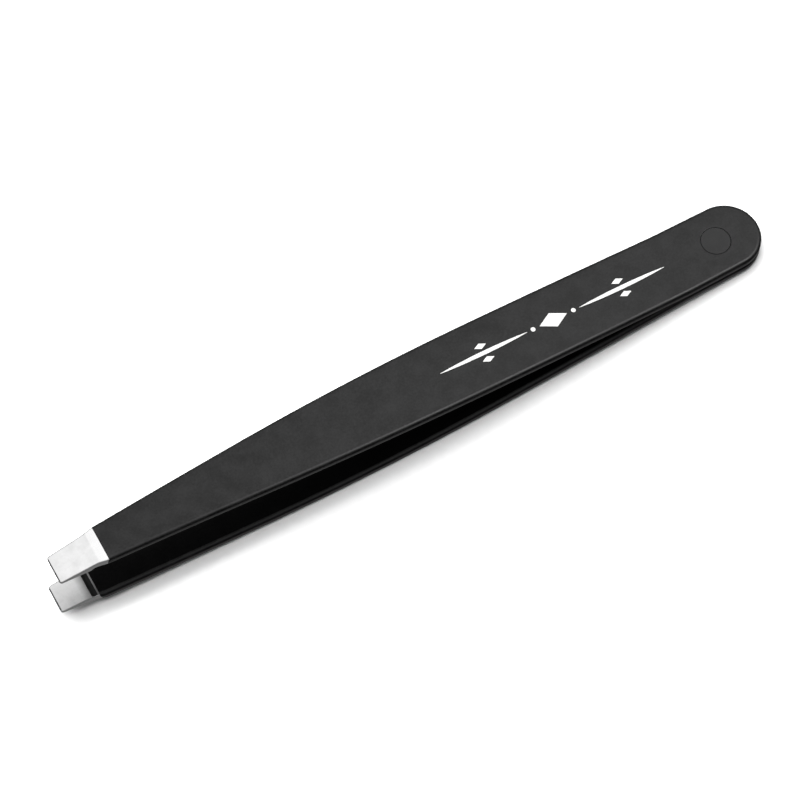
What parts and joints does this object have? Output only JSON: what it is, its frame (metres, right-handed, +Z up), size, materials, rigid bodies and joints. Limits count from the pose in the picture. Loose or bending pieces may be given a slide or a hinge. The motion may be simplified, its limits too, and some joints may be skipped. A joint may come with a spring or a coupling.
{
  "type": "slant tweezers",
  "caption": "Slim black slant tweezers: bowed flat spring arms held by a flush rear rivet, with broad bare-steel gripping tips ground almost square",
  "frame": {"origin": "on the resting surface, under the middle of the tweezers as they lie on one arm", "axes": "tips toward -X, rear toward +X, +Y across the arms, +Z up; the arms open and close in the XZ plane"},
  "size_m": [0.0952, 0.009, 0.0107],
  "materials": {
    "rivet": "matte black over steel",
    "steel": "finely ground satin",
    "coating": "fine matte black"
  },
  "bodies": {
    "heel": {"rear_rivet": "rivet"},
    "upper": {"upper_arm": "steel", "upper_coating": "coating"},
    "lower": {"lower_arm": "steel", "lower_coating": "coating"}
  },
  "joints": [
    {"name": "upper_squeeze", "type": "hinge", "parent": "heel", "child": "upper", "pos_m": [0.03567, 0, 0.00178], "axis": [0, -1, 0], "range_deg": [0, 2.53], "stiffness_Nm_per_rad": 4},
    {"name": "lower_squeeze", "type": "hinge", "parent": "heel", "child": "lower", "pos_m": [0.03567, 0, 0.00178], "axis": [0, 1, 0], "range_deg": [0, 2.53], "stiffness_Nm_per_rad": 4}
  ],
  "couplings": [
    {"joint": "lower_squeeze", "follows": "upper_squeeze", "ratio": 1}
  ]
}
